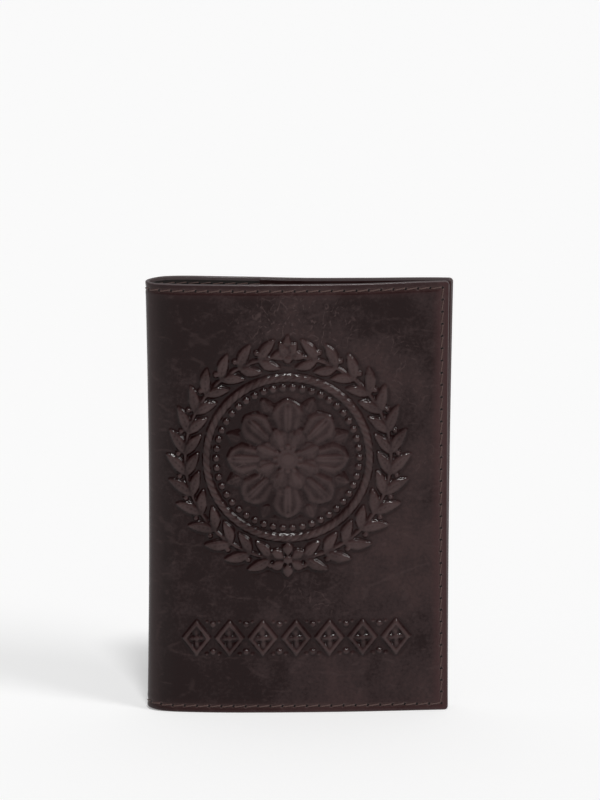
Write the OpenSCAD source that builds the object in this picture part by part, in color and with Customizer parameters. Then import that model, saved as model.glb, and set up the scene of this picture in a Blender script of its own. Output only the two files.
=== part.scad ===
// Passport holder: a folded leather cover with two inner flaps whose pockets take
// the passport's own covers. It stands on its bottom edge, nearly closed.
//
// Frame: +Z up along the cover's height, +X from the spine to the fore-edge, and
// the front cover faces -Y. The origin is at the middle of the bottom edge.
//
// The cross-section is the same at every height. It is drawn with two lengths:
// u is the distance from the spine's outermost line, and v the distance from the
// middle plane between the covers. The outline starts as an arc of the rounded
// spine and runs on as a cubic curve that bulges and then closes to the fore-edge.

/* [Cover] */
// Height of the cover
cover_h = 136; // [132:0.5:150]
// Width of the closed cover, from the spine to the back cover's fore-edge
cover_w = 95; // [93:0.5:105]
// How far the front cover stops short of the back cover at the fore-edge
front_short = 1; // [0:0.25:2]
// Half of the closed thickness at the fore-edge
edge_half = 3.3; // [3.2:0.1:5]
// Radius of the corners at the fore-edge
corner_r = 1.2; // [0.5:0.1:5]

/* [Fold] */
// Outer radius of the rounded spine
spine_r = 5.1; // [4.8:0.1:7]
// Angle through which the covers open, from closed to flat
open_angle = 180; // [150:5:180]
// Gap between two strips of the spine
strip_gap = 0.2; // [0.15:0.05:0.3]
// Length of the curve's handle at the spine, which sets the bulge
spine_handle = 14; // [10:1:18]
// Length of the curve's handle at the fore-edge
edge_handle = 44; // [36:1:50]
// Slope of each cover at the fore-edge, in degrees
edge_slope = 5.5; // [2:0.5:8]

/* [Layers] */
// Thickness of the cover's leather
leather_t = 1.3; // [1.1:0.1:1.4]
// Thickness of the textile lining
lining_t = 0.3; // [0.2:0.05:0.4]
// Thickness of an inner flap with the slack of its pocket
flap_t = 1.3; // [1.2:0.1:1.4]
// Width of each inner flap
flap_w = 60; // [45:1:70]
// Depth of the pocket under a flap, for the passport's cover
pocket_d = 0.6; // [0.4:0.1:0.7]
// Width of the sewn margin that closes a pocket on three sides
pocket_margin = 3; // [2.8:0.1:3.5]
// How far the lining stays inside the leather's edges
lining_inset = 1; // [0.5:0.1:1.5]
// How far a flap stays inside the leather's edges
flap_inset = 0.3; // [0.2:0.1:0.6]

/* [Seam] */
// Distance from one stitch to the next
stitch_pitch = 3.8; // [3:0.1:5]
// Length of one stitch
stitch_l = 3; // [2.2:0.1:3.2]
// Width of the thread
thread_w = 0.6; // [0.4:0.05:0.8]
// How far the thread stands proud of the leather
thread_t = 0.25; // [0.15:0.05:0.3]
// Distance of the seam from the leather's edges
seam_inset = 2.1; // [1.8:0.1:2.6]

/* [Hidden] */

STRIPS = 5;                                 // strips of leather that make up the spine
STRIP_ANGLE = open_angle / (STRIPS + 1);    // each fold line opens by this much
NOSE = STRIPS * STRIP_ANGLE / 2;            // half of the angle that the spine's arc covers
STEPS = 24;                                 // facets along each curved cover
HALVINGS = 24;                              // steps of a search for a place on the curve
REST = 0.02;                                // clearance under a stitch and under a flap
OVER = 0.5;                                 // how far a cut runs past what it cuts

LEATHER = "#3a2724";
LINING = "#2b2322";
THREAD = "#5c3a34";

FLAP_TOP = leather_t + lining_t;            // depth at which a flap starts
FLAP_FACE = FLAP_TOP + flap_t;              // depth of a flap's inner face

// The curve's four control points [u, v].
P0 = spine_r * [1 - cos(NOSE), sin(NOSE)];
P1 = P0 + spine_handle * [sin(NOSE), cos(NOSE)];
P3 = [cover_w, edge_half];
P2 = P3 + edge_handle * [-cos(edge_slope), sin(edge_slope)];
DEGREE = 3;                                 // of the curve, which leaves P0 at DEGREE * (P1 - P0)
GAP_SHARE = strip_gap / 2 / (DEGREE * spine_handle);    // a cover starts half a gap along it

function on_curve(t) =
    pow(1 - t, DEGREE) * P0 + DEGREE * pow(1 - t, 2) * t * P1
    + DEGREE * (1 - t) * t * t * P2 + pow(t, DEGREE) * P3;
function heading(t) =
    let (d = pow(1 - t, 2) * (P1 - P0) + 2 * (1 - t) * t * (P2 - P1) + t * t * (P3 - P2))
    atan2(d[1], d[0]);
// The point at depth d under the leather's outer face.
function under(t, d) = on_curve(t) + d * [sin(heading(t)), -cos(heading(t))];
// Where the curve at depth d passes u.
function passes(u, d, low = 0, high = 1, left = HALVINGS) =
    let (t = (low + high) / 2)
    left == 0 ? t
    : under(t, d)[0] < u ? passes(u, d, t, high, left - 1) : passes(u, d, low, t, left - 1);
// Outline of a layer from depth d to depth d + thick, between two places on the curve.
function layer(d, thick, from, to) = concat(
    [for (i = [0:STEPS]) under(from + (to - from) * i / STEPS, d)],
    [for (i = [STEPS:-1:0]) under(from + (to - from) * i / STEPS, d + thick)]
);

// Puts a solid that is drawn in u, v and z in its place: side is 1 for the front
// cover, whose v runs along -Y, and -1 for the back cover.
module placed(side) {
    translate([-cover_w / 2, 0, 0]) mirror([0, side > 0 ? 1 : 0, 0]) children();
}

// A cover's layer, cut to the rounded corners at its fore-edge.
module panel(side, d, thick, from_u, inset) {
    edge_u = cover_w - (side > 0 ? front_short : 0) - inset;
    r = max(corner_r - inset, 0.3);
    from = from_u > 0 ? passes(from_u, d) : GAP_SHARE;
    placed(side) intersection() {
        translate([0, 0, inset]) linear_extrude(cover_h - 2 * inset)
            polygon(layer(d, thick, from, 1));
        translate([0, 2 * spine_r + OVER, 0]) rotate([90, 0, 0])
            linear_extrude(2 * spine_r + 2 * OVER) corners(edge_u, inset, r);
    }
}

// A sheet's outline seen from the front, with round corners at the fore-edge.
module corners(edge_u, inset, r) {
    low = inset;
    high = cover_h - inset;
    translate([0, low]) square([edge_u - r, high - low]);
    translate([0, low + r]) square([edge_u, high - low - 2 * r]);
    for (z = [low + r, high - r]) translate([edge_u - r, z]) circle(r, $fn = 32);
}

// The pocket under a flap: open towards the spine, closed by the seam's margin
// on the other three sides.
module pocket(side) {
    start = passes(cover_w - flap_w - 1, FLAP_TOP);
    end = passes(cover_w - (side > 0 ? front_short : 0) - pocket_margin, FLAP_TOP);
    placed(side) translate([0, 0, pocket_margin]) linear_extrude(cover_h - 2 * pocket_margin)
        polygon(layer(FLAP_TOP - OVER / 5, pocket_d + OVER / 5, start, end));
}

// One strip of the spine's arc, number k of STRIPS counted from the back cover.
module arc(k, d, thick, inset) {
    half = STRIP_ANGLE / 2 - strip_gap / 2 / spine_r * 180 / PI;
    turn = (k - (STRIPS + 1) / 2) * STRIP_ANGLE;
    translate([spine_r - cover_w / 2, 0, inset]) rotate(180 + turn - half)
        rotate_extrude(angle = 2 * half, $fn = 96)
            translate([spine_r - d - thick, 0]) square([thick, cover_h - 2 * inset]);
}

// A stitch along u on a face at depth d, facing out or in.
module stitch(u, z, d, outward, along_z) {
    t = passes(u, d);
    lift = (thread_t / 2 + REST) * (outward ? -1 : 1);
    p = under(t, d + lift);
    translate([p[0], p[1], z]) rotate(heading(t))
        cube(along_z ? [thread_w, thread_t, stitch_l] : [stitch_l, thread_t, thread_w],
             center = true);
}

// The seam along three edges of a cover, outside on the leather and inside on the
// flap, and on the lining where there is no flap.
module seam(side) {
    edge_u = cover_w - (side > 0 ? front_short : 0) - seam_inset;
    first_u = P0[0] + stitch_l / 2 + 1;
    across = floor((edge_u - first_u) / stitch_pitch);
    up = floor((cover_h - 2 * seam_inset - stitch_pitch) / stitch_pitch);
    first_z = (cover_h - (up - 1) * stitch_pitch) / 2;
    placed(side) {
        for (i = [0:across - 1], z = [seam_inset, cover_h - seam_inset]) {
            u = edge_u - (i + 0.5) * stitch_pitch;
            flapped = u > cover_w - flap_w + stitch_l / 2;
            clear = u < cover_w - flap_w - stitch_l / 2;
            stitch(u, z, 0, true, false);
            if (flapped) stitch(u, z, FLAP_FACE, false, false);
            if (clear) stitch(u, z, FLAP_TOP, false, false);
        }
        for (i = [0:up - 1]) {
            stitch(edge_u, first_z + i * stitch_pitch, 0, true, true);
            stitch(edge_u, first_z + i * stitch_pitch, FLAP_FACE, false, true);
        }
    }
}

module front_cover() {
    color(LEATHER) panel(1, 0, leather_t, 0, 0);
}

module back_cover() {
    color(LEATHER) panel(-1, 0, leather_t, 0, 0);
}

module spine_strip(k) {
    color(LEATHER) arc(k, 0, leather_t, 0);
}

module front_lining() {
    color(LINING) panel(1, leather_t, lining_t, 0, lining_inset);
}

module back_lining() {
    color(LINING) panel(-1, leather_t, lining_t, 0, lining_inset);
}

module spine_lining(k) {
    color(LINING) arc(k, leather_t, lining_t, lining_inset);
}

module front_flap() {
    color(LEATHER) difference() {
        panel(1, FLAP_TOP + REST, flap_t - REST, cover_w - flap_w, flap_inset);
        pocket(1);
    }
}

module back_flap() {
    color(LEATHER) difference() {
        panel(-1, FLAP_TOP + REST, flap_t - REST, cover_w - flap_w, flap_inset);
        pocket(-1);
    }
}

module front_seam() {
    color(THREAD) seam(1);
}

module back_seam() {
    color(THREAD) seam(-1);
}

// One stitch near the top and one near the bottom of a strip, on both faces.
module spine_seam(k) {
    turn = (k - (STRIPS + 1) / 2) * STRIP_ANGLE;
    outer = [stitch_l / 2, thread_t, thread_w];
    inner = [stitch_l / 3, thread_t, thread_w];
    color(THREAD) translate([spine_r - cover_w / 2, 0, 0]) rotate(90 + turn)
        for (z = [seam_inset, cover_h - seam_inset]) {
            translate([0, spine_r + thread_t / 2 + REST, z]) cube(outer, center = true);
            translate([0, spine_r - FLAP_TOP - thread_t, z]) cube(inner, center = true);
        }
}

front_cover();
back_cover();
spine_strip(1);  // spine_strip_1
spine_strip(2);  // spine_strip_2
spine_strip(3);  // spine_strip_3
spine_strip(4);  // spine_strip_4
spine_strip(5);  // spine_strip_5
front_lining();
back_lining();
spine_lining(1);  // spine_lining_1
spine_lining(2);  // spine_lining_2
spine_lining(3);  // spine_lining_3
spine_lining(4);  // spine_lining_4
spine_lining(5);  // spine_lining_5
front_flap();
back_flap();
front_seam();
back_seam();
spine_seam(1);  // spine_seam_1
spine_seam(2);  // spine_seam_2
spine_seam(3);  // spine_seam_3
spine_seam(4);  // spine_seam_4
spine_seam(5);  // spine_seam_5
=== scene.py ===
"""Passport holder: the look of the folded leather cover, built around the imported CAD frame.

The leather, the lining and each flap are sheets. Every sheet is drawn on a grid of s, the distance along
the leather's outer face from the middle of the spine (positive on the front cover, negative on the back),
and z, the height. A point also has a depth under the leather's outer face. Lengths are in mm until a mesh
is made.
"""

import math

import bpy
import numpy as np
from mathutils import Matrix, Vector


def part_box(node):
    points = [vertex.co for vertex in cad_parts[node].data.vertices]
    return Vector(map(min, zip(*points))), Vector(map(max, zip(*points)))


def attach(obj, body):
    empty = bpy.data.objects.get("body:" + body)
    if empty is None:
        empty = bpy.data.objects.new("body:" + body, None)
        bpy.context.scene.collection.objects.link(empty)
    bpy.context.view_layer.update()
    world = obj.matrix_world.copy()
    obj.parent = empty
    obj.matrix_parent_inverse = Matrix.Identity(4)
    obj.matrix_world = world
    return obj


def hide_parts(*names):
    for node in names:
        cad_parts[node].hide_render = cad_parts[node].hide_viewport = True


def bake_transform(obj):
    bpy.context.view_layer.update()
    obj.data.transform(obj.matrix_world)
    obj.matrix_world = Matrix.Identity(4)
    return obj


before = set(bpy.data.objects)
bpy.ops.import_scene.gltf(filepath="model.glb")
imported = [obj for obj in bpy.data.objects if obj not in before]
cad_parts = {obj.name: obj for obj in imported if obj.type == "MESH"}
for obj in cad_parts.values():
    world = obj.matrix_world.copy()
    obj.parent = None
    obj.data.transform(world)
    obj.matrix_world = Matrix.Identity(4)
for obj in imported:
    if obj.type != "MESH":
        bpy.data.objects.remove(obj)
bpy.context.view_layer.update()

# ---------------------------------------------------------------- the cover's shape, as the CAD has it

MM = 0.001
SPINE_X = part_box("spine_strip_3")[0].x / MM  # the spine's outermost line
EDGE_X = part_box("back_cover")[1].x / MM  # the back cover's fore-edge
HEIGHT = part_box("back_cover")[1].z / MM
WIDTH = EDGE_X - SPINE_X
SHORT = EDGE_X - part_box("front_cover")[1].x / MM  # how far the front cover stops short of the back

SPINE_R = 5.1
STRIP = math.radians(30)  # turn of each fold line
NOSE = 2.5 * STRIP  # half of the angle that the spine's arc covers
SPINE_HANDLE, EDGE_HANDLE = 14.0, 44.0  # handles of the curve in section, at its two ends
EDGE_HALF = 3.3  # the fore-edge's distance from the middle plane
EDGE_SLOPE = math.radians(5.5)  # the cover's slope there
LEATHER_T, LINING_T, FLAP_T = 1.3, 0.3, 1.0
FLAP_W, FLAP_INSET, LINING_INSET = 60.0, 0.3, 1.0  # insets are from the leather's edges
SEAM_INSET, STITCH = 2.1, 3.8


def outline():
    """The leather's outer face in section, as four rows of numbers: the distance along it, u from the spine,
    v from the middle plane, and the heading."""
    turn = np.linspace(0, NOSE, 200)
    arc = np.stack([SPINE_R * turn, SPINE_R * (1 - np.cos(turn)), SPINE_R * np.sin(turn),
                    math.pi / 2 - turn], 1)
    p0 = SPINE_R * np.array([1 - math.cos(NOSE), math.sin(NOSE)])
    p1 = p0 + SPINE_HANDLE * np.array([math.sin(NOSE), math.cos(NOSE)])
    p3 = np.array([WIDTH, EDGE_HALF])
    p2 = p3 + EDGE_HANDLE * np.array([-math.cos(EDGE_SLOPE), math.sin(EDGE_SLOPE)])
    t = np.linspace(0, 1.03, 4000)[:, None]
    c = (1 - t) ** 3 * p0 + 3 * (1 - t) ** 2 * t * p1 + 3 * (1 - t) * t * t * p2 + t**3 * p3
    d = (1 - t) ** 2 * (p1 - p0) + 2 * (1 - t) * t * (p2 - p1) + t * t * (p3 - p2)
    s = SPINE_R * NOSE + np.concatenate([[0], np.cumsum(np.linalg.norm(np.diff(c, axis=0), axis=1))])
    cover = np.stack([s, c[:, 0], c[:, 1], np.arctan2(d[:, 1], d[:, 0])], 1)
    return np.concatenate([arc, cover[1:]]).T


S_TAB, U_TAB, V_TAB, HEAD_TAB = outline()


def along(u, depth=0.0):
    """The distance s at which the layer at that depth passes u."""
    return float(np.interp(u, U_TAB + depth * np.sin(HEAD_TAB), S_TAB))


def ease(x):
    """0 below 0, 1 above 1, and a smooth step between."""
    x = np.clip(x, 0, 1)
    return x * x * (3 - 2 * x)


def hump(x, at, width):
    """1 at one place, falling off on both sides of it."""
    return np.exp(-(((x - at) / width) ** 2))


PINCH = 0.75  # the spine's middle is drawn in by this much


def settle(p):
    """The slack of a used cover: a drawn-in spine, fore-edges that aren't quite straight, and a soft
    waviness. The shares are in mm and the places in u, so each line says how far and where it moves."""
    x, y, z = p[..., 0], p[..., 1], p[..., 2]
    u, t = x - SPINE_X, z / HEIGHT
    belly = np.sin(np.pi * np.clip(t, 0, 1))
    behind = y > 0
    # along the cover: the spine and both fore-edges are drawn in, and the back leans
    dx = PINCH * belly * (1 - ease(u / 26)) - 0.4 * belly * ease((u - 60) / 35)
    lean_back, lean_front = (t - 0.7) * ease((u - 20) / 60), 0.2 * (1 - t) * ease((u - 60) / 35)
    dx = dx + np.where(behind, lean_back, lean_front)
    # across it: both covers wave, but not near the fold lines
    front_wave = (0.16 * np.sin(z / 19 + u / 31 + 0.7) + 0.1 * np.sin(z / 11 - u / 17)
                  + 0.06 * np.sin(u / 8 + z / 29))
    back_wave = 0.15 * np.sin(z / 23 - u / 27 + 2.1) + 0.09 * np.sin(z / 13 + u / 15)
    dy = ease((u - 14) / 22) * np.where(behind, back_wave, -front_wave)
    # up: the spine's foot and the top edges aren't level
    back_top = 0.4 * hump(u, 8, 12) - 0.42 * hump(u, 50, 18) + 0.4 * ease((u - 68) / 25)
    rise = 0.5 + np.where(behind, back_top, 0.5 * ease((u - 62) / 28)) * ease(u / 6)
    dz = 0.55 * hump(u, 0, 4.0) * (1 - ease(t * 3)) + rise * ease(t * 2.5 - 1.5)
    return np.stack([x + dx, y + dy, z + dz], -1)


def place(s, z, depth):
    """Points in the row frame, in mm, of places on the sheets."""
    s, z, depth = np.broadcast_arrays(np.asarray(s, float), np.asarray(z, float), np.asarray(depth, float))
    a = np.abs(s)
    u, v, h = (np.interp(a, S_TAB, tab) for tab in (U_TAB, V_TAB, HEAD_TAB))
    u, v = u + depth * np.sin(h), v - depth * np.cos(h)
    return settle(np.stack([u + SPINE_X, np.where(s < 0, v, -v), z], -1))


FRONT_EDGE, BACK_EDGE = along(WIDTH - SHORT), along(WIDTH)
FRONT_COLUMN, BACK_COLUMN = along(WIDTH - SHORT - SEAM_INSET), along(WIDTH - SEAM_INSET)
ROW_LOW, ROW_HIGH = SEAM_INSET, HEIGHT - SEAM_INSET
ROW_PITCH = (FRONT_COLUMN + BACK_COLUMN) / round((FRONT_COLUMN + BACK_COLUMN) / STITCH)
COLUMN_PITCH = (ROW_HIGH - ROW_LOW) / round((ROW_HIGH - ROW_LOW) / STITCH)
FLAP_OPEN = along(WIDTH - FLAP_W, LEATHER_T + LINING_T)  # the flap's free edge

# A sheet that crosses the spine is cut into a part for each cover and one for each fold line, which runs
# from the middle of one strip to the middle of the next.
COVER_START = SPINE_R * NOSE + 2.0
BORDERS = [-COVER_START, *(SPINE_R * k * STRIP for k in (-2, -1, 0, 1, 2)), COVER_START]


def bend(piece):
    """Bakes a piece's transform into its mesh. Piece k of a sheet, 0 to 5, spans fold line k + 1."""
    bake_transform(piece)


# ---------------------------------------------------------------- the embossed ornament


class Relief:
    """A height map of an ornament in mm, drawn shape over shape round its centre. a runs along the cover and
    b up. The shapes' low and high are the heights of their edge and their top."""

    STEP = 0.14

    def __init__(self, half_w, half_h):
        self.a0, self.b0 = -half_w, -half_h
        self.na, self.nb = int(2 * half_w / self.STEP) + 1, int(2 * half_h / self.STEP) + 1
        self.a, self.b = np.meshgrid(self.a0 + self.STEP * np.arange(self.na),
                                     self.b0 + self.STEP * np.arange(self.nb), indexing="ij")
        self.h = np.zeros_like(self.a)
        self.cover = np.zeros_like(self.a)

    def lay(self, mask, height, window=...):
        self.h[window] = np.where(mask, height, self.h[window])
        self.cover[window] = np.where(mask, 1.0, self.cover[window])

    def window(self, x, y, reach):
        """The part of the map within reach of a place."""
        i0, i1 = (int(np.clip((x + k * reach - self.a0) / self.STEP, 0, self.na)) for k in (-1, 1))
        j0, j1 = (int(np.clip((y + k * reach - self.b0) / self.STEP, 0, self.nb)) for k in (-1, 1))
        return slice(i0, i1), slice(j0, j1)

    def leaf(self, x, y, angle, length, width, low, high, full=0.85, ribs=1.5, fan=0.0, vein=0.3):
        """A leaf from (x, y), with a vein and ribs, or a petal with a fan of ribs from its foot."""
        w = self.window(x, y, length + 1)
        a, b = self.a[w] - x, self.b[w] - y
        p = (a * math.cos(angle) + b * math.sin(angle)) / length
        q = -a * math.sin(angle) + b * math.cos(angle)
        curl = 0.0 if fan else 0.05 * length * np.sign(np.sin(2 * angle) + 1e-9)
        q = q - curl * np.sin(np.pi * np.clip(p, 0, 1))
        inside = np.clip(p, 1e-4, 1 - 1e-4)
        half = width / 2 * np.sin(np.pi * inside**full) ** 0.75 + 1e-6
        e = np.clip(1 - (q / half) ** 2, 0, 1)
        mask = (p > 0) & (p < 1) & (np.abs(q) < half)
        body = low + (high - low) * e**0.65 * (0.5 + 0.5 * np.sin(np.pi * inside) ** 0.6)
        body -= vein * (high - low) * hump(q, 0, 0.3) * (inside < 0.93)
        if fan:
            body += 0.16 * (high - low) * np.cos(fan * np.arctan2(q, p * length + 3.0)) * np.sqrt(e)
        elif ribs:
            along_rib = p * length - 1.1 * np.abs(q)
            body += 0.15 * (high - low) * np.cos(2 * np.pi * along_rib / ribs) * np.sqrt(e)
        self.lay(mask, body, w)

    def petals(self, count, phase, r0, r1, width, low, high, ribs, tip):
        """A ring of petals round the centre, each narrower than its share of the turn."""
        r, phi = np.hypot(self.a, self.b), np.arctan2(self.b, self.a)
        share = 2 * math.pi / count
        psi = (phi - phase + share / 2) % share - share / 2
        p = np.clip((r * np.cos(psi) - r0) / (r1 - r0), 1e-4, 1 - 1e-4)
        q = r * np.sin(psi)
        half = np.minimum(width / 2 * np.sin(np.pi * p**tip) ** 0.7, 0.97 * r * math.tan(share / 2)) + 1e-6
        e = np.clip(1 - (q / half) ** 2, 0, 1)
        mask = (np.abs(q) < half) & (p > 1e-3) & (p < 0.999)
        dome = e**0.72 * (0.35 + 0.65 * np.sin(np.pi * p**1.2) ** 0.7)
        fading = e * ease(p * 3) * ease((1 - p) * 4)
        ridges = 0.28 * np.cos(ribs * math.pi * q / half) * fading - 0.45 * hump(q, 0, 0.32) * (p < 0.9)
        self.lay(mask, low + (high - low) * (dome + ridges))

    def bead(self, x, y, r, low, high):
        w = self.window(x, y, r + 0.5)
        e = 1 - ((self.a[w] - x) ** 2 + (self.b[w] - y) ** 2) / r**2
        self.lay(e > 0, low + (high - low) * np.sqrt(np.clip(e, 0, 1)), w)

    def beads(self, count, ring, r, low, high):
        """A ring of beads."""
        for k in range(count):
            turn = k * 2 * math.pi / count
            self.bead(ring * math.cos(turn), ring * math.sin(turn), r, low, high)

    def blurred(self, field, sigma):
        n = int(3 * sigma / self.STEP) + 1
        k = np.exp(-0.5 * (np.arange(-n, n + 1) * self.STEP / sigma) ** 2)
        k /= k.sum()
        for axis in (0, 1):
            field = np.apply_along_axis(np.convolve, axis, field, k, "same")
        return field

    def finish(self, soft, moat):
        """Rounds the shapes as leather does, and sinks the ground beside them. It also works out a map that
        is both the polish and dye of wear and painted light and shade: more than 0 where it stands proud of
        what is round it, less than 0 in its hollows."""
        ground = self.blurred(self.cover, 1.1) * (1 - self.cover)
        wide = self.blurred(self.cover, 3.0)
        self.h = self.blurred(self.h - moat * ground - 0.1 * wide * (1 - self.cover), soft)
        self.rubbed_and_shaded = 0.5 * self.h + 1.3 * (self.h - self.blurred(self.h, 1.0))
        return self

    def at(self, field, a, b):
        """The value of one of its maps at places from its centre, 0 outside it."""
        i, j = (a - self.a0) / self.STEP, (b - self.b0) / self.STEP
        inside = (i >= 0) & (i < self.na - 1) & (j >= 0) & (j < self.nb - 1)
        i, j = np.clip(i, 0, self.na - 1.001), np.clip(j, 0, self.nb - 1.001)
        i0, j0 = i.astype(int), j.astype(int)
        fi, fj = i - i0, j - j0
        value = ((field[i0, j0] * (1 - fi) + field[i0 + 1, j0] * fi) * (1 - fj)
                 + (field[i0, j0 + 1] * (1 - fi) + field[i0 + 1, j0 + 1] * fi) * fj)
        return np.where(inside, value, 0.0)


def bulge(x, half):
    """The height of a half-round, 1 at its middle."""
    return np.sqrt(np.clip(1 - (x / half) ** 2, 0, 1))


def medallion():
    """A flower in a rope ring and a wreath of leaves."""
    m = Relief(41, 41)
    r, phi = np.hypot(m.a, m.b), np.arctan2(m.b, m.a)
    # the rosette
    m.petals(8, math.pi / 8, 9.0, 20.6, 8.0, 0.0, 0.4, 1.5, tip=0.7)
    m.petals(8, 0.0, 3.0, 19.0, 12.2, 0.08, 0.78, 3.0, tip=1.5)
    m.petals(8, math.pi / 8, 2.6, 10.4, 6.4, 0.3, 0.95, 2.0, tip=1.3)
    button = 3.5
    m.lay(r < button, 0.55 + 0.42 * bulge(r, button) - 0.14 * hump(r, 2.2, 0.28))
    m.beads(12, 3.9, 0.75, 0.5, 0.95)
    # two rings: beads and a rope
    m.beads(46, 22.3, 1.0, 0.1, 0.55)
    rope, half = r - 25.4, 1.25
    strand = 0.72 + 0.28 * np.cos(64 * phi + 3.2 * rope)
    m.lay(np.abs(rope) < half, 0.08 + 0.6 * strand * bulge(rope, half))
    # the wreath, growing from the bottom up both sides, open at the top
    wreath_r, half = 32.2, 0.6
    stem = (np.abs(r - wreath_r) < half) & ((phi < math.radians(84)) | (phi > math.radians(96)))
    m.lay(stem, 0.1 + 0.3 * bulge(r - wreath_r, half))
    for side in (1, -1):
        for k in range(14):
            turn = math.radians(-90 + side * (9 + k * 11.9))
            x, y = wreath_r * math.cos(turn), wreath_r * math.sin(turn)
            ahead = turn + side * math.pi / 2
            size = 1.0 - 0.018 * abs(k - 6)
            m.leaf(x, y, ahead - side * 0.62, 9.4 * size, 3.9 * size, 0.12, 0.72, ribs=1.45)
            m.leaf(x, y, ahead + side * 0.66, 8.2 * size, 3.7 * size, 0.12, 0.72, ribs=1.45)
            m.bead(x + 2.3 * math.cos(turn), y + 2.3 * math.sin(turn), 0.8, 0.3, 0.78)
        turn = math.radians(-90 + side * 171)
        x, y = wreath_r * math.cos(turn), wreath_r * math.sin(turn)
        m.leaf(x, y, turn + side * math.pi / 2, 7.0, 3.4, 0.15, 0.76)
    # a bud at the wreath's top and a small flower where its stems meet
    for turn, size in ((90, 1.0), (62, 0.8), (118, 0.8)):
        m.leaf(0, 31.5, math.radians(turn), 7.0 * size, 3.6, 0.2, 0.82)
    m.bead(0, 31.2, 1.3, 0.4, 0.95)
    for k in range(6):
        turn = math.radians(-90 + k * 60)
        x, y = math.cos(turn), math.sin(turn) - wreath_r
        m.leaf(x, y, turn, 4.6, 3.5, 0.25, 0.85, full=1.2, fan=9)
    m.bead(0, -wreath_r, 1.35, 0.5, 1.0)
    return m.finish(0.19, 0.5)


def band():
    """A row of seven lozenges with beads between them."""
    m = Relief(39, 11)
    pitch = 10.4
    for k in range(7):
        x = (k - 3) * pitch
        ring = np.abs(m.a - x) / 4.7 + np.abs(m.b) / 6.0  # 1 at the lozenge's outline
        m.lay(ring < 1, 0.1 + 0.62 * np.clip(1 - np.abs(ring - 0.8) / 0.2, 0, 1) ** 0.6 - 0.4 * (ring < 0.6))
        for q in range(4):
            turn = q * math.pi / 2
            m.leaf(x, 0, turn, 2.7 if q % 2 == 0 else 3.6, 1.9, 0.0, 0.55, full=1.0, ribs=0, vein=0.25)
        m.bead(x, 0, 0.8, 0.3, 0.75)
    for k in range(6):
        x = (k - 2.5) * pitch
        for side in (-1, 1):
            m.bead(x, side * 4.4, 0.85, 0.1, 0.55)
            for beside in (-1.9, 1.9):
                m.bead(x + beside, side * 5.192, 0.4675, 0.08, 0.4)
    return m.finish(0.17, 0.6)


# each ornament with the place of its centre
ORNAMENTS = ((medallion(), along(44.0), 81.5), (band(), along(46.6), 24.0))


def emboss(s, z):
    """The height of the ornaments, in mm."""
    return sum(m.at(m.h, s - centre_s, z - centre_z) for m, centre_s, centre_z in ORNAMENTS)


def rubbed_and_shaded(s, z):
    """More than 0 where hands polish the ornaments and light is painted on them, less than 0 where the dye
    stays in their hollows and shade is painted there.
    """
    return sum(m.at(m.rubbed_and_shaded, s - centre_s, z - centre_z) for m, centre_s, centre_z in ORNAMENTS)


# ---------------------------------------------------------------- sheets as meshes


def seam_distance(s, z):
    """(how far a place is from the seam's line, how far from its nearest hole)"""
    column = np.where(s < 0, BACK_COLUMN, FRONT_COLUMN)
    a = np.abs(s)
    dz = np.minimum(np.abs(z - ROW_LOW), np.abs(z - ROW_HIGH))
    beyond = np.clip(a - column, 0, None)
    step = (FRONT_COLUMN - s) / ROW_PITCH
    row = np.hypot(dz, beyond)
    row_hole = np.hypot(dz, np.abs(step - np.round(step)) * ROW_PITCH + beyond)
    above = np.clip(np.maximum(z - ROW_HIGH, ROW_LOW - z), 0, None)
    step = (z - ROW_LOW) / COLUMN_PITCH
    col = np.hypot(a - column, above)
    col_hole = np.hypot(a - column, np.abs(step - np.round(step)) * COLUMN_PITCH + above)
    return np.minimum(row, col), np.minimum(row_hole, col_hole)


def pulled(s, z, deep=0.14):
    """How far the thread pulls a sheet's face in, in mm: a groove, deeper at the holes, with a soft ridge
    beside it."""
    line, hole = seam_distance(s, z)
    return deep * hump(line, 0, 0.75) + 0.12 * hump(hole, 0, 0.5) - 0.05 * hump(line, 1.5, 0.6)


def marks(*runs):
    """Places along a line, from the first number on: each run after it is (up to, step)."""
    places = [runs[0]]
    for end, step in runs[1:]:
        n = max(1, round((end - places[-1]) / step))
        places += list(np.linspace(places[-1], end, n + 1)[1:])
    return np.array(places)


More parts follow.
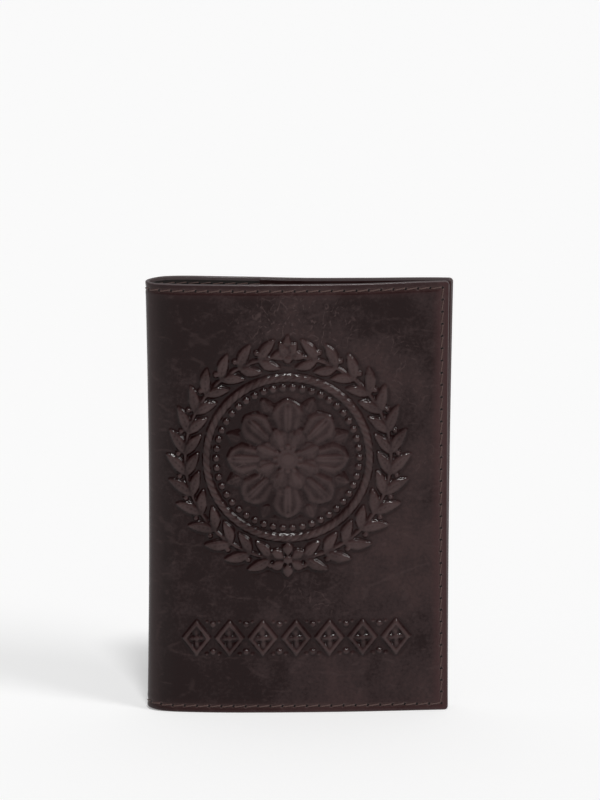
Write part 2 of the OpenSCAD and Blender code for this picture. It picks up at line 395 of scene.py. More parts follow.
class Sheet:
    """A sheet with rounded edges, from s[0] to s[-1] and z[0] to z[-1]. Its finished face is at depth
    face(s, z), and the sheet lies on from there to the depth back. edge is the edges' radius, and corners
    the radii of the corners at s[0] and at s[-1]."""

    def __init__(self, s, z, face, back, edge, corners=(0.0, 0.0)):
        self.verts, self.uv, self.rim = [], [], []
        self.quads, self.quad_at, self.ngons, self.ngon_at = [], [], [], []
        s0, s1, z0, z1 = s[0], s[-1], z[0], z[-1]
        s = np.concatenate([[s0 + edge], s[(s > s0 + edge * 1.3) & (s < s1 - edge * 1.3)], [s1 - edge]])
        z = np.concatenate([[z0 + edge], z[(z > z0 + edge * 1.3) & (z < z1 - edge * 1.3)], [z1 - edge]])
        n, m = len(s), len(z)
        gs, gz = np.meshgrid(s, z, indexing="ij")
        gs, gz = gs.copy(), gz.copy()
        out = np.zeros((n, m, 2))
        out[:, 0, 1], out[:, -1, 1], out[0, :, 0], out[-1, :, 0] = -1, 1, -1, 1
        for ends, sign, r in ((s0, -1, corners[0]), (s1, 1, corners[1])):
            r = max(r, edge + 1e-3)
            for level, up in ((z0, -1), (z1, 1)):
                cs, cz = ends - sign * r, level - up * r
                a, b = (gs - cs) * sign, (gz - cz) * up
                inside = (a >= 0) & (b >= 0) & (np.hypot(a, b) > 1e-9)
                size = np.hypot(a, b) + 1e-12
                scale = np.where(inside, np.maximum(a, b) / size, 1)
                out[inside] = np.stack([a * sign, b * up], -1)[inside] / size[inside][:, None]
                gs = np.where(inside, cs + a * scale * sign, gs)
                gz = np.where(inside, cz + b * scale * up, gz)
        depth = face(gs, gz)
        flat_s, flat_z = gs.ravel(), gz.ravel()
        grid = self.add(flat_s, flat_z, depth.ravel(), flat_s, flat_z, np.zeros(n * m)).reshape(n, m)
        self.add_quads(grid[:-1, :-1], grid[1:, :-1], grid[1:, 1:], grid[:-1, 1:],
                       (s[:-1] + s[1:])[:, None] / 2)
        # the border of the face, once round, and the rings that round the edge off
        i = np.concatenate([np.arange(n), np.full(m - 1, n - 1), np.arange(n - 2, -1, -1),
                            np.zeros(m - 2, int)])
        j = np.concatenate([np.zeros(n, int), np.arange(1, m), np.full(n - 1, m - 1),
                            np.arange(m - 2, 0, -1)])
        bs, bz, bd, o = gs[i, j], gz[i, j], depth[i, j], out[i, j]
        o /= np.linalg.norm(o, axis=1)[:, None]
        turns = np.radians([22.5, 45, 67.5, 90])
        thick = abs(back - float(np.median(bd)))
        steps = [(edge * math.sin(x), edge * (1 - math.cos(x))) for x in turns]
        if thick > 2 * edge + 1e-6:
            steps.append((edge, thick - edge))
        steps += [(edge * math.cos(x), thick - edge * (1 - math.sin(x))) for x in turns]
        before, ring, far = (0.0, 0.0), grid[i, j], 0.0
        column = np.clip(np.minimum(i, np.roll(i, -1)), 0, n - 2)
        middle = (s[column] + s[column + 1]) / 2
        for e, h in steps:
            far += math.hypot(e - before[0], h - before[1])
            before = (e, h)
            share = h / thick
            now = self.add(bs + o[:, 0] * e, bz + o[:, 1] * e, bd + (back - bd) * share,
                           bs + o[:, 0] * far, bz + o[:, 1] * far, np.full(len(i), min(1.0, 0.25 + far)))
            self.add_quads(ring, now, np.roll(now, -1), np.roll(ring, -1), middle)
            ring = now
        # the hidden face, in coarse cells that follow the finished one, with every row at the borders
        far_end = n + m - 2  # where the border's last stretch along s starts in a ring
        under = np.full((n, m), -1)
        under[:, 0], under[:, -1] = ring[:n], ring[far_end:far_end + n][::-1]
        under[-1, 1:-1], under[0, 1:-1] = ring[n:far_end], ring[far_end + n:][::-1]
        at_border = {b: int(np.argmin(np.abs(s - b))) for b in BORDERS if s0 < b < s1}
        cuts = sorted({0, n - 1, *range(0, n - 1, 6), *at_border.values()})
        levels = sorted({0, m - 1, *range(0, m - 1, 12)})
        inner = np.zeros((n, m), bool)
        inner[np.ix_(cuts[1:-1], levels[1:-1])] = True
        inner[list(at_border.values()), 1:-1] = True
        count = int(inner.sum())
        inner_s, inner_z = gs[inner], gz[inner]
        under[inner] = self.add(inner_s, inner_z, np.full(count, back), inner_s, inner_z, np.ones(count))
        for p, q in zip(cuts[:-1], cuts[1:]):
            for e, f in zip(levels[:-1], levels[1:]):
                loop = [*under[p:q + 1, e], *under[q, e + 1:f],
                        *under[p:q + 1, f][::-1], *under[p, e + 1:f][::-1]]
                self.ngons.append([x for x in loop if x >= 0][::-1])
                self.ngon_at.append((s[p] + s[q]) / 2)
        # the faces that close a piece which is cut at a border
        lows, highs = self.ring_columns(n, m, len(steps))
        self.sections = {}
        for b, c in at_border.items():
            top, bottom = [r[c] for r in highs], [r[c] for r in lows][::-1]
            loops = [[grid[c, j], grid[c, j + 1], under[c, j + 1], under[c, j]] for j in range(1, m - 2)]
            loops.append([grid[c, 0], grid[c, 1], under[c, 1], *bottom])
            loops.append([grid[c, m - 2], grid[c, m - 1], *top, under[c, m - 2]])
            self.sections[b] = loops
        self.finish()

    def ring_columns(self, n, m, count):
        """For each ring of the edge, its vertices along the lower and the upper border, column by column."""
        first, length = n * m, 2 * (n + m) - 4
        low, high = [], []
        for k in range(count):
            ring = first + k * length + np.arange(length)
            low.append(ring[:n])
            high.append(ring[n + m - 2:2 * n + m - 2][::-1])
        return low, high

    def add(self, s, z, depth, us, uz, rim):
        """Adds vertices, each with its place on the texture and how far round the rim it is, 0 to 1."""
        at = sum(len(v) for v in self.verts)
        self.verts.append(place(s, z, depth))
        self.uv.append(np.stack([us, uz], -1))
        self.rim.append(rim)
        return at + np.arange(len(s))

    def add_quads(self, a, b, c, d, at):
        """Adds faces, each with the s of its middle."""
        quads = np.stack([x.ravel() for x in (a, b, c, d)], -1)
        self.quads.append(quads)
        self.quad_at.append(np.broadcast_to(at, a.shape).ravel())

    def finish(self):
        """Joins what was added, and works out the normals of the whole sheet, which its pieces share."""
        self.verts, self.uv, self.rim = (np.concatenate(x) for x in (self.verts, self.uv, self.rim))
        self.quads, self.quad_at = np.concatenate(self.quads), np.concatenate(self.quad_at)
        v = self.verts
        face = np.cross(v[self.quads[:, 2]] - v[self.quads[:, 0]], v[self.quads[:, 3]] - v[self.quads[:, 1]])
        self.normals = np.zeros_like(v)
        for k in range(4):
            np.add.at(self.normals, self.quads[:, k], face)
        hidden_weight = 0.1
        for loop in self.ngons:
            p = v[loop]
            total = np.cross(p, np.roll(p, -1, axis=0)).sum(0)
            self.normals[loop] += hidden_weight * total / (np.linalg.norm(total) + 1e-12)
        self.normals /= np.linalg.norm(self.normals, axis=1)[:, None] + 1e-12

    def piece(self, name, low=-1e9, high=1e9, values=None):
        """The part of the sheet between two borders, closed at the cuts. values(s, z) becomes its rubbed
        attribute."""
        keep = (self.quad_at > low) & (self.quad_at < high)
        quads = self.quads[keep]
        ngons = [loop for loop, at in zip(self.ngons, self.ngon_at) if low < at < high]
        for b, loops in self.sections.items():
            if abs(b - low) < 1e-6:
                ngons += [loop[::-1] for loop in loops]
            if abs(b - high) < 1e-6:
                ngons += loops
        used = np.unique(np.concatenate([quads.ravel(), *map(np.array, ngons)]))
        new = np.full(len(self.verts), -1)
        new[used] = np.arange(len(used))
        faces = new[quads].tolist() + [new[np.array(loop)].tolist() for loop in ngons]
        mesh = make_mesh(name, self.verts[used], faces, self.uv[used], self.normals[used])
        rim = self.rim[used]
        layer = mesh.attributes.new("rim", "FLOAT", "POINT")
        layer.data.foreach_set("value", rim.astype(np.float32))
        if values is not None:
            layer = mesh.attributes.new("rubbed_and_shaded", "FLOAT", "POINT")
            layer.data.foreach_set("value", (values(*self.uv[used].T) * (rim == 0)).astype(np.float32))
        return in_scene(name, mesh)


UV_MM = 100.0  # one unit of the UV map, in mm


def make_mesh(name, verts, faces, uv, normals=None):
    """A smooth mesh from points and a UV map in mm."""
    mesh = bpy.data.meshes.new(name)
    mesh.from_pydata((verts * MM).tolist(), [], faces)
    mesh.polygons.foreach_set("use_smooth", [True] * len(mesh.polygons))
    layer = mesh.uv_layers.new(name="UVMap")
    index = np.zeros(len(mesh.loops), np.int32)
    mesh.loops.foreach_get("vertex_index", index)
    layer.data.foreach_set("uv", (uv[index] / UV_MM).astype(np.float32).ravel())
    mesh.update()
    if normals is not None:
        mesh.normals_split_custom_set_from_vertices(normals.tolist())
    return mesh


def in_scene(name, data):
    """A new object in the scene."""
    obj = bpy.data.objects.new(name, data)
    bpy.context.scene.collection.objects.link(obj)
    return obj


# ---------------------------------------------------------------- the leather

# The grid is fine along the seam and under the ornaments, and coarser between them.
FINE_S, FINE_Z = 0.36, 0.34
MARGIN = 4.2  # the width of the fine rows along the top and the bottom
MARGIN_S = along(88.5)  # where the fine columns along the fore-edges start
EDGE_R, CORNER_R = 0.42, 1.2

spine_cols = marks(-COVER_START, (BORDERS[1], 0.36), *((b, 0.33) for b in BORDERS[2:6]), (COVER_START, 0.36))
front_cols = marks(COVER_START, (along(5.9), 0.7), (along(82.2), FINE_S), (MARGIN_S, 0.7),
                   (FRONT_EDGE, FINE_S))
back_cols = -marks(COVER_START, (MARGIN_S, 1.0), (BACK_EDGE, FINE_S))[::-1]
cols = np.concatenate([back_cols[:-1], spine_cols, front_cols[1:]])
rows = marks(0.0, (MARGIN, FINE_Z), (17.2, 0.8), (31.0, FINE_Z), (43.6, 0.8), (119.5, FINE_Z),
             (HEIGHT - MARGIN, 0.8), (HEIGHT, FINE_Z))


def leather_face(s, z):
    return pulled(s, z) - emboss(s, z)


leather = Sheet(cols, rows, leather_face, LEATHER_T, EDGE_R, (CORNER_R, CORNER_R))

LINING_FACE = LEATHER_T + LINING_T
back_cols = -marks(COVER_START, (BACK_EDGE - LINING_INSET, 2.0))[::-1]
front_cols = marks(COVER_START, (FRONT_EDGE - LINING_INSET, 2.0))
cols = np.concatenate([back_cols[:-1], spine_cols, front_cols[1:]])
rows = marks(LINING_INSET, (MARGIN, 0.35), (HEIGHT - MARGIN, 2.0), (HEIGHT - LINING_INSET, 0.35))


def lining_face(s, z):
    return LINING_FACE - pulled(s, z, 0.05)


lining = Sheet(cols, rows, lining_face, LEATHER_T + 0.01, 0.1, (0.6, 0.6))
FLAP_BACK = LINING_FACE + 0.02  # a flap lies this close on the lining


def flap_face(s, z):
    """Tight at the seams, and lifted in the middle and at its free edge."""
    a = np.abs(s)
    column = np.where(s < 0, BACK_COLUMN, FRONT_COLUMN)
    inner = np.minimum(np.minimum(z - ROW_LOW, ROW_HIGH - z), column - a)
    lift = 0.27 * ease((inner - 0.6) / 14) * (1 + 0.12 * np.sin(z / 15 + a / 9))
    crease = 0.09 * hump(a, FLAP_OPEN + 2.2, 0.35)
    return FLAP_BACK + FLAP_T + lift - crease - pulled(s, z, 0.12)


def flap_cols(edge):
    return marks(FLAP_OPEN, (FLAP_OPEN + 3.4, 0.3), (MARGIN_S, 1.4), (edge - FLAP_INSET, 0.36))


rows = marks(FLAP_INSET, (MARGIN, 0.36), (HEIGHT - MARGIN, 1.6), (HEIGHT - FLAP_INSET, 0.36))
front_flap = Sheet(flap_cols(FRONT_EDGE), rows, flap_face, FLAP_BACK, 0.36, (0.5, 0.9))
back_flap = Sheet(-flap_cols(BACK_EDGE)[::-1], rows, flap_face, FLAP_BACK, 0.36, (0.9, 0.5))


# ---------------------------------------------------------------- the seam

THREAD_W, THREAD_H = 0.21, 0.19  # half of the thread's width and height
PLY = 1.0  # the length of one ply's turn along the thread
SAMPLES, SIDES = 20, 10  # rings to a stitch, and sides of a ring


def surface(s, z, outside):
    """The depth of the face that the thread lies on."""
    if outside:
        return leather_face(s, z)
    return np.where(np.abs(s) > FLAP_OPEN, flap_face(s, z), lining_face(s, z))


def tube(cs, cz, cd, along_s):
    """A twisted three-ply thread through places of the sheets, which runs along s or along z. Returns its
    vertices, its faces and its UV map."""
    length = cs if along_s else cz
    phi = np.linspace(0, 2 * math.pi, SIDES, endpoint=False)[None, :]
    lobes = 1 + 0.11 * np.cos(3 * phi - 2 * math.pi * length[:, None] / PLY)
    wide, deep = THREAD_W * lobes * np.cos(phi), THREAD_H * lobes * np.sin(phi)
    s = cs[:, None] + (0 if along_s else 1) * wide
    z = cz[:, None] + (1 if along_s else 0) * wide
    verts = place(s, z, cd[:, None] - deep)
    n = len(cs)
    index = np.arange(n * SIDES).reshape(n, SIDES)
    a, b = index[:-1], index[1:]
    faces = np.stack([a, b, np.roll(b, -1, 1), np.roll(a, -1, 1)], -1).reshape(-1, 4).tolist()
    faces += [index[0][::-1].tolist(), index[-1].tolist()]
    uv = np.stack([np.broadcast_to(length[:, None], s.shape), np.broadcast_to(phi / 6, s.shape)], -1)
    return verts.reshape(-1, 3), faces, uv.reshape(-1, 2)


def stitched(start, end, first, pitch):
    """Places along a seam from start to end, denser near the holes, with the height of the thread over the
    face there and how far it lies to one side."""
    before, after = math.floor((start - first) / pitch) - 1, math.ceil((end - first) / pitch) + 2
    holes = first + pitch * np.arange(before, after)
    share = (1 - np.cos(np.linspace(0, math.pi, SAMPLES + 1)[:-1])) / 2
    at = (holes[:-1, None] + pitch * share).ravel()
    at = np.unique(np.concatenate([at[(at > start) & (at < end)], [start, end]]))
    from_middle = 2 * (((at - first) / pitch) % 1.0) - 1  # -1 and 1 at the stitch's two holes
    lift = 0.1 - 0.56 * np.abs(from_middle) ** 7
    slant = 0.22 * np.sin(from_middle * math.pi / 2)
    return at, lift, slant * (np.abs(from_middle) < 0.999)


def seam_piece(name, runs):
    """One piece made of several runs of thread."""
    verts, faces, uvs = [], [], []
    first = 0
    for run_verts, run_faces, uv in runs:
        verts.append(run_verts)
        faces += [[i + first for i in face] for face in run_faces]
        uvs.append(uv)
        first += len(run_verts)
    return in_scene(name, make_mesh(name, np.concatenate(verts), faces, np.concatenate(uvs)))


def rows_between(low, high):
    """The thread of both rows, outside and inside, from one s to another."""
    runs = []
    for z in (ROW_LOW, ROW_HIGH):
        for sign in (1, -1):
            at, lift, slant = stitched(low, high, FRONT_COLUMN, ROW_PITCH)
            cz = z + slant * sign
            runs.append(tube(at, cz, surface(at, cz, sign > 0) - lift * sign, True))
    return runs


def columns_at(s):
    """The thread along a fore-edge, outside and inside."""
    runs = []
    for sign in (1, -1):
        at, lift, slant = stitched(ROW_LOW, ROW_HIGH, ROW_LOW, COLUMN_PITCH)
        cs = s + slant * sign
        runs.append(tube(cs, at, surface(cs, at, sign > 0) - lift * sign, False))
    return runs


# ---------------------------------------------------------------- materials


class Nodes:
    """Short names for the shader nodes that the materials use."""

    def __init__(self, name):
        self.material = bpy.data.materials.new(name)
        self.material.use_nodes = True
        self.tree = self.material.node_tree
        self.tree.nodes.clear()
        self.out = self.tree.nodes.new("ShaderNodeOutputMaterial")
        self.shader = self.tree.nodes.new("ShaderNodeBsdfPrincipled")
        self.tree.links.new(self.shader.outputs[0], self.out.inputs[0])

    def put(self, socket, value):
        """Links a socket to the input, or sets it to a value."""
        if isinstance(value, bpy.types.NodeSocket):
            self.tree.links.new(value, socket)
        else:
            socket.default_value = value

    def settings(self, **values):
        """Sets the shader's own sockets, named with _ for a space."""
        for key, value in values.items():
            self.put(self.shader.inputs[key.replace("_", " ")], value)

    def math(self, operation, a, b=None, c=None):
        node = self.tree.nodes.new("ShaderNodeMath")
        node.operation = operation
        for k, value in enumerate((a, b, c)):
            if value is not None:
                self.put(node.inputs[k], value)
        return node.outputs[0]

    def times(self, a, b):
        return self.math("MULTIPLY", a, b)

    def less(self, a, b):
        return self.math("SUBTRACT", a, b)

    def add(self, first, *others):
        for value in others:
            first = self.math("ADD", first, value)
        return first

    def attribute(self, name):
        node = self.tree.nodes.new("ShaderNodeAttribute")
        node.attribute_name = name
        return node.outputs["Fac"]

    def uv(self):
        """(s, z, 0) in mm as a vector, and s and z on their own."""
        node = self.tree.nodes.new("ShaderNodeUVMap")
        node.uv_map = "UVMap"
        split = self.tree.nodes.new("ShaderNodeSeparateXYZ")
        self.put(split.inputs[0], node.outputs[0])
        s, z = (self.times(x, UV_MM) for x in split.outputs[:2])
        join = self.tree.nodes.new("ShaderNodeCombineXYZ")
        self.put(join.inputs[0], s)
        self.put(join.inputs[1], z)
        return join.outputs[0], s, z

    def stretch(self, vector, scale, turn=0.0):
        node = self.tree.nodes.new("ShaderNodeMapping")
        self.put(node.inputs["Vector"], vector)
        node.inputs["Scale"].default_value = scale
        node.inputs["Rotation"].default_value = (0, 0, turn)
        return node.outputs[0]

    def noise(self, vector, scale, detail=3.0, rough=0.5, kind="FBM", distort=0.0):
        node = self.tree.nodes.new("ShaderNodeTexNoise")
        node.noise_type = kind
        self.put(node.inputs["Vector"], vector)
        settings = {"Scale": scale, "Detail": detail, "Roughness": rough, "Distortion": distort}
        for key, value in settings.items():
            node.inputs[key].default_value = value
        if kind == "RIDGED_MULTIFRACTAL":
            node.inputs["Offset"].default_value = 1.0  # at 0 it is flat
        return node.outputs["Fac"]

    def cells(self, vector, scale):
        node = self.tree.nodes.new("ShaderNodeTexVoronoi")
        node.feature = "SMOOTH_F1"
        self.put(node.inputs["Vector"], vector)
        node.inputs["Scale"].default_value = scale
        return node.outputs["Distance"]

    def ramp(self, value, low, high, to_low=0.0, to_high=1.0):
        node = self.tree.nodes.new("ShaderNodeMapRange")
        node.interpolation_type = "SMOOTHSTEP"
        self.put(node.inputs["Value"], value)
        for key, x in (("From Min", low), ("From Max", high), ("To Min", to_low), ("To Max", to_high)):
            node.inputs[key].default_value = x
        return node.outputs[0]

    def mix(self, share, a, b):
        node = self.tree.nodes.new("ShaderNodeMix")
        node.data_type = "RGBA"
        self.put(node.inputs["Factor"], share)
        for key, value in (("A", a), ("B", b)):
            socket = next(x for x in node.inputs if x.name == key and x.type == "RGBA")
            self.put(socket, (*value, 1.0) if isinstance(value, tuple) else value)
        return next(x for x in node.outputs if x.type == "RGBA")

    def bump(self, height, strength, distance=MM):
        node = self.tree.nodes.new("ShaderNodeBump")
        node.inputs["Strength"].default_value = strength
        node.inputs["Distance"].default_value = distance
        self.put(node.inputs["Height"], height)
        return node.outputs[0]

    def seam(self, s, z):
        """The distances in mm from the seam's nearest hole and from its line, as seam_distance has them."""
        size = self.math("ABSOLUTE", s)
        dz = self.math("MINIMUM", self.math("ABSOLUTE", self.less(z, ROW_LOW)),
                       self.math("ABSOLUTE", self.less(z, ROW_HIGH)))
        front = self.math("GREATER_THAN", s, 0.0)
        column = self.math("MULTIPLY_ADD", front, FRONT_COLUMN - BACK_COLUMN, BACK_COLUMN)
        ds = self.math("ABSOLUTE", self.less(size, column))
        beyond = self.math("MAXIMUM", self.less(size, column), 0.0)
        turns = 40  # whole stitches that keep the number under PINGPONG above 0
        step = self.math("PINGPONG", self.less(FRONT_COLUMN + turns * ROW_PITCH, s), ROW_PITCH / 2)
        row = self.length(self.add(step, beyond), dz)
        above = self.math("MAXIMUM", self.math("MAXIMUM", self.less(z, ROW_HIGH), self.less(ROW_LOW, z)), 0.0)
        rise = self.math("PINGPONG", self.less(z, ROW_LOW), COLUMN_PITCH / 2)
        col = self.length(self.add(rise, above), ds)
        line = self.math("MINIMUM", self.length(beyond, dz), self.length(above, ds))
        return self.math("MINIMUM", row, col), line

    def hole(self, near):
        """1 in a hole."""
        return self.ramp(near, 0.44, 0.24)

    def length(self, a, b):
        return self.math("SQRT", self.add(self.times(a, a), self.times(b, b)))


# the leather's tones, from the darkest to the warmest, and the red of its sewn margins
DARK, MID = (0.0088, 0.0012, 0.0012), (0.023, 0.0112, 0.0112)
WARM, RED = (0.036, 0.018, 0.0175), (0.047, 0.0185, 0.019)
PALE = (0.061, 0.037, 0.036)  # where it is stretched or worn, and painted light on the ornament's raised parts
EDGE = (0.098, 0.076, 0.077)  # its cut edges: their paint, lightened by a painted highlight
# a painted shade beside the spine, and a painted reflection along its curve, which also stands for the paler
# leather where it bends
SPINE_SHADE, SPINE = (0.0145, 0.0082, 0.008), (0.041, 0.0255, 0.0255)
# the seam's line, a painted glint on the lip round each hole, and painted shade in the holes
SEAM_LINE, LIP_GLINT, HOLE_SHADE = (0.055, 0.03, 0.028), (0.075, 0.05, 0.048), (0.002, 0.0015, 0.0015)


def leather_material(name, edge, gloss, embossed):
    """Pull-up leather: mottled, redder along the sewn margins, paler on the spine where a reflection is
    painted along its curve with a painted shade beside it, with grain and creases.
    edge is the colour of its cut edges, with a painted highlight in it, and gloss its mean roughness."""
    n = Nodes(name)
    at, s, z = n.uv()
    size = n.math("ABSOLUTE", s)
    patches = n.noise(at, 0.028, 4, 0.6, distort=0.6)
    clouds = n.noise(n.stretch(at, (1, 0.7, 1), 0.5), 0.12, 5, 0.62)
    specks = n.less(n.noise(at, 0.9, 4, 0.65), 0.5)
    tone = n.add(n.times(patches, 0.62), n.times(clouds, 0.38), n.times(specks, 0.34),
                 n.ramp(size, 15, 90, -0.06, 0.055), n.ramp(z, 40, 120, 0.006, -0.01))
    colour = n.mix(n.ramp(tone, 0.4, 0.53), DARK, MID)
    colour = n.mix(n.ramp(tone, 0.5, 0.66), colour, WARM)
    margin = n.math("MAXIMUM", n.ramp(z, 5, 1, 0, 0.4), n.ramp(z, HEIGHT - 6, HEIGHT - 2, 0, 0.35))
    margin = n.math("MAXIMUM", n.ramp(size, FRONT_EDGE - 6, FRONT_EDGE - 2, 0, 0.8), margin)
    colour = n.mix(margin, colour, RED)
    # painted shade beside the spine, then a painted reflection along its curve
    colour = n.mix(n.ramp(size, 13, 7, 0, 0.5), colour, SPINE_SHADE)
    colour = n.mix(n.ramp(size, 8.5, 3, 0, 0.8), colour, SPINE)
    # the cut edges: their paint with a painted highlight
    colour = n.mix(n.ramp(n.attribute("rim"), 0.1, 0.5, 0, 0.9), colour, edge)

    # the seam: its line, the holes with painted shade in them, and round each a lip with a painted glint here
    # and there
    near, line = n.seam(s, z)
    hole, lip = n.hole(near), n.ramp(n.math("ABSOLUTE", n.less(near, 0.62)), 0.22, 0.05)
    lit = n.times(lip, n.ramp(n.noise(at, 0.9, 2, 0.5), 0.45, 0.62))
    colour = n.mix(n.times(n.ramp(line, 1.1, 0.3), 0.5), colour, SEAM_LINE)
    colour = n.mix(n.times(lit, 0.7), colour, LIP_GLINT)
    colour = n.mix(hole, colour, HOLE_SHADE)

    # the surface: grain, long creases, and wrinkles in a worn patch near the front's top and in a few others
    grain = n.cells(n.stretch(at, (1, 1.15, 1), 0.3), 1.35)
    fine, uneven = n.noise(at, 3.4, 3, 0.6), n.noise(at, 0.45, 3, 0.55)
    creases = n.noise(n.stretch(at, (0.5, 1, 1), 0.9), 0.11, 6, 0.6, "RIDGED_MULTIFRACTAL")
    creases = n.ramp(creases, 1.55, 2.0)
    wrinkles = n.noise(n.stretch(at, (1, 0.8, 1), -0.7), 0.3, 5, 0.6, "RIDGED_MULTIFRACTAL", 0.5)
    half_s, half_z = 22, 13  # of the worn patch
    patch = n.length(n.math("MULTIPLY_ADD", s, 1 / half_s, -50 / half_s),
                     n.math("MULTIPLY_ADD", z, 1 / half_z, -123 / half_z))
    worn = n.math("MAXIMUM", n.ramp(patch, 1.3, 0.3), n.ramp(n.noise(at, 0.04, 2, 0.5), 0.56, 0.7, 0, 0.7))
    wrinkles = n.times(n.ramp(wrinkles, 1.4, 1.9), worn)
    colour = n.mix(n.times(wrinkles, 0.8), colour, PALE)
    colour = n.mix(n.times(creases, 0.22), colour, PALE)
    scores = n.ramp(n.noise(n.stretch(at, (0.12, 1, 1), -0.5), 0.5, 3, 0.55), 0.62, 0.75)
    height = n.add(n.times(grain, 0.04), n.times(fine, 0.022), n.times(uneven, 0.09), n.times(creases, 0.05),
                   n.times(wrinkles, 0.1), n.times(lip, 0.06))
    height = n.less(n.less(height, n.times(scores, 0.04)), n.times(hole, 0.35))

    rough = n.add(n.ramp(tone, 0.35, 0.7, gloss + 0.1, gloss - 0.05), n.times(specks, 0.16))
    # the ornament: paler where it stands proud and darker in its hollows, partly the polish and dye of wear,
    # partly painted light and painted shade
    if embossed:
        rub_and_shade = n.attribute("rubbed_and_shaded")
        share = n.times(n.ramp(rub_and_shade, 0.05, 0.6, 0, 0.85), n.ramp(clouds, 0.38, 0.6, 0.55, 1.0))
        colour = n.mix(share, colour, PALE)
        colour = n.mix(n.ramp(rub_and_shade, 0.0, -0.3, 0, 0.6), colour, DARK)
        rough = n.less(rough, n.ramp(rub_and_shade, 0.1, 0.6, 0, 0.1))
    n.settings(Base_Color=colour, Roughness=n.math("MAXIMUM", rough, 0.2), Normal=n.bump(height, 0.8),
               Specular_IOR_Level=0.04, Coat_Weight=0.28, Coat_Roughness=0.15,
               Sheen_Weight=0.015, Sheen_Roughness=0.25)
    return n.material


def lining_material():
    """A plain weave of fine yarns."""
    n = Nodes("lining_weave")
    at, s, z = n.uv()
    pitch = 0.42  # of the yarns, in mm
    warp, weft = (n.math("SINE", n.times(x, 2 * math.pi / pitch)) for x in (s, z))
    both = n.times(*(n.math("SINE", n.times(x, math.pi / pitch)) for x in (s, z)))
    over = n.math("MULTIPLY_ADD", both, 0.5, 0.5)  # 1 where the warp is on top, 0 where the weft is
    yarn = n.add(n.times(n.math("ABSOLUTE", warp), over),
                 n.times(n.math("ABSOLUTE", weft), n.less(1.0, over)))
    hole = n.hole(n.seam(s, z)[0])
    colour = n.mix(n.times(yarn, n.noise(at, 0.5, 4, 0.6)), (0.007, 0.0048, 0.0045), (0.042, 0.029, 0.026))
    # painted shade in the stitch holes
    n.settings(Base_Color=n.mix(hole, colour, HOLE_SHADE), Roughness=0.85, Sheen_Weight=0.04,
               Normal=n.bump(n.less(n.times(yarn, 0.06), n.times(hole, 0.2)), 0.8))
    return n.material


def thread_material():
    """Twisted thread, lighter and redder than the leather."""
    n = Nodes("thread_twist")
    at = n.uv()[0]
    fibres = n.noise(n.stretch(at, (0.6, 6, 1), 0.8), 3.0, 3, 0.6)
    colour = n.mix(fibres, (0.036, 0.0155, 0.0125), (0.115, 0.057, 0.047))
    colour = n.mix(n.ramp(n.noise(at, 0.35, 2, 0.5), 0.35, 0.7, 0, 0.35), colour, (0.038, 0.016, 0.0135))
    n.settings(Base_Color=colour, Roughness=n.ramp(fibres, 0.2, 0.8, 0.5, 0.7), Sheen_Weight=0.1,
               Normal=n.bump(fibres, 0.5, 0.05 * MM))
    return n.material


# the cut edges carry a painted highlight, dimmer on the flaps
cover_leather = leather_material("cover_leather_skin", EDGE, 0.34, True)
flap_leather = leather_material("flap_leather_skin", tuple(0.6 * x for x in EDGE), 0.44, False)
weave, thread = lining_material(), thread_material()

# ---------------------------------------------------------------- pieces, the covers' each on its body, the spine's unattached


def dress(piece, material, slot, *nodes):
    """Gives a piece its material, and hides the CAD nodes that it replaces. slot is not used."""
    piece.data.materials.append(material)
    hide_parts(*nodes)
    return piece


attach(dress(leather.piece("cover_front", low=COVER_START, values=rubbed_and_shaded), cover_leather, "cover_leather",
              "front_cover"), "front")
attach(dress(leather.piece("cover_back", high=-COVER_START, values=rubbed_and_shaded), cover_leather, "cover_leather",
              "back_cover"), "back")
lining_front = dress(lining.piece("lining_front", low=COVER_START), weave, "lining", "front_lining")
lining_back = dress(lining.piece("lining_back", high=-COVER_START), weave, "lining", "back_lining")
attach(lining_front, "front")
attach(lining_back, "back")
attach(dress(front_flap.piece("flap_front"), flap_leather, "flap_leather", "front_flap"), "front")
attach(dress(back_flap.piece("flap_back"), flap_leather, "flap_leather", "back_flap"), "back")
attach(dress(seam_piece("seam_front", rows_between(COVER_START, FRONT_COLUMN) + columns_at(FRONT_COLUMN)),
              thread, "thread", "front_seam"), "front")
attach(dress(seam_piece("seam_back", rows_between(-BACK_COLUMN, -COVER_START) + columns_at(-BACK_COLUMN)),
              thread, "thread", "back_seam"), "back")

for k in range(6):
    strips = [x for x in (k, k + 1) if 1 <= x <= 5]
    low, high = BORDERS[k], BORDERS[k + 1]
    skin = dress(leather.piece(f"spine_leather_{k + 1}", low, high, rubbed_and_shaded), cover_leather, "cover_leather",
                 *(f"spine_strip_{x}" for x in strips))
    cloth = dress(lining.piece(f"spine_lining_fold_{k + 1}", low, high), weave, "lining",
                  *(f"spine_lining_{x}" for x in strips))
    run = dress(seam_piece(f"spine_thread_{k + 1}", rows_between(low, high)), thread, "thread",
                *(f"spine_seam_{x}" for x in strips))
    for piece in (skin, cloth, run):
        bend(piece)

# ---------------------------------------------------------------- floor, light and camera

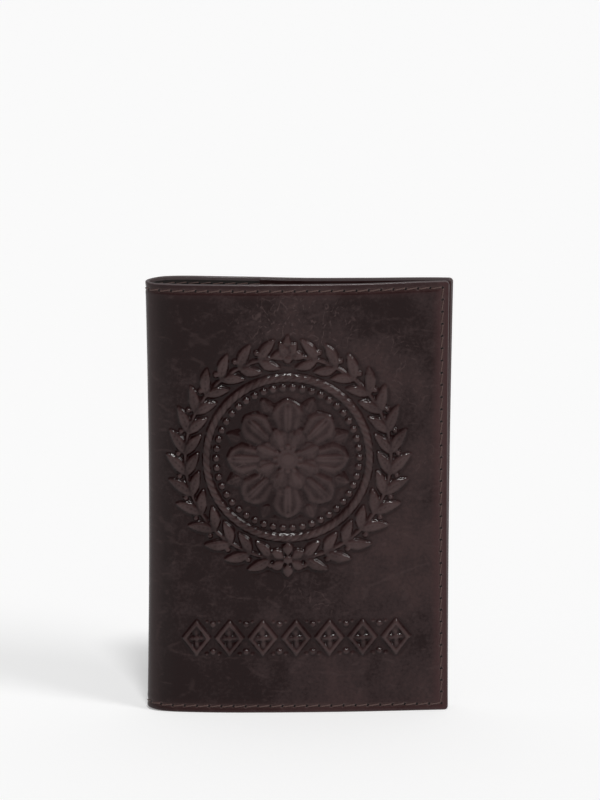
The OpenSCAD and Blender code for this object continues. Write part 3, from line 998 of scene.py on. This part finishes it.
bpy.ops.mesh.primitive_circle_add(vertices=96, radius=30, fill_type="NGON", location=(0, 0, 0))
floor = bpy.context.active_object
floor.name = "floor"
table = Nodes("white_table")
table.settings(Base_Color=(0.8, 0.8, 0.8, 1), Roughness=0.9, Specular_IOR_Level=0.1,
               Emission_Color=(1, 1, 1, 1), Emission_Strength=0.27)
floor.data.materials.append(table.material)

# a white studio that is brighter behind the object than behind the camera
world = bpy.data.worlds.new("studio")
world.use_nodes = True
tree = world.node_tree
where, split = tree.nodes.new("ShaderNodeTexCoord"), tree.nodes.new("ShaderNodeSeparateXYZ")
sweep = tree.nodes.new("ShaderNodeMapRange")
sweep.interpolation_type = "SMOOTHSTEP"
for key, x in (("From Min", -0.35), ("From Max", 0.5), ("To Min", 0.17), ("To Max", 0.38)):
    sweep.inputs[key].default_value = x
tree.links.new(where.outputs["Generated"], split.inputs[0])
tree.links.new(split.outputs[1], sweep.inputs["Value"])
tree.links.new(sweep.outputs[0], tree.nodes["Background"].inputs[1])
tree.nodes["Background"].inputs[0].default_value = (1, 1, 1, 1)
bpy.context.scene.world = world

# large soft lamps: the azimuth to the right of the camera and the height that each comes from, in degrees,
# its strength, and how wide it looks
for name, azimuth, lift, energy, angle in (("key", 56, 38, 0.95, 20), ("overhead", 6, 60, 1.5, 9)):
    azimuth, lift = math.radians(azimuth), math.radians(lift)
    lamp = bpy.data.lights.new(name, "SUN")
    lamp.energy, lamp.angle = energy, math.radians(angle)
    light = in_scene(name, lamp)
    down = Vector((-math.sin(azimuth) * math.cos(lift), math.cos(azimuth) * math.cos(lift), -math.sin(lift)))
    light.rotation_mode = "QUATERNION"
    light.rotation_quaternion = down.to_track_quat("-Z", "Y")

DISTANCE = 2.0  # m from the middle of the object
RISE = math.radians(13.41)  # how high the camera stands over it
PITCH = math.radians(12.553)  # how far it looks down, which puts the object a little below the middle
camera = in_scene("camera", bpy.data.cameras.new("camera"))
camera.data.lens, camera.data.sensor_width = 288.9, 36
camera.data.clip_start, camera.data.clip_end = 0.1, 100
camera.location = (0.00031, -DISTANCE * math.cos(RISE), HEIGHT * MM / 2 + DISTANCE * math.sin(RISE))
camera.rotation_euler = (math.pi / 2 - PITCH, 0, 0)
bpy.context.scene.camera = camera
bpy.context.scene.view_settings.view_transform = "Standard"
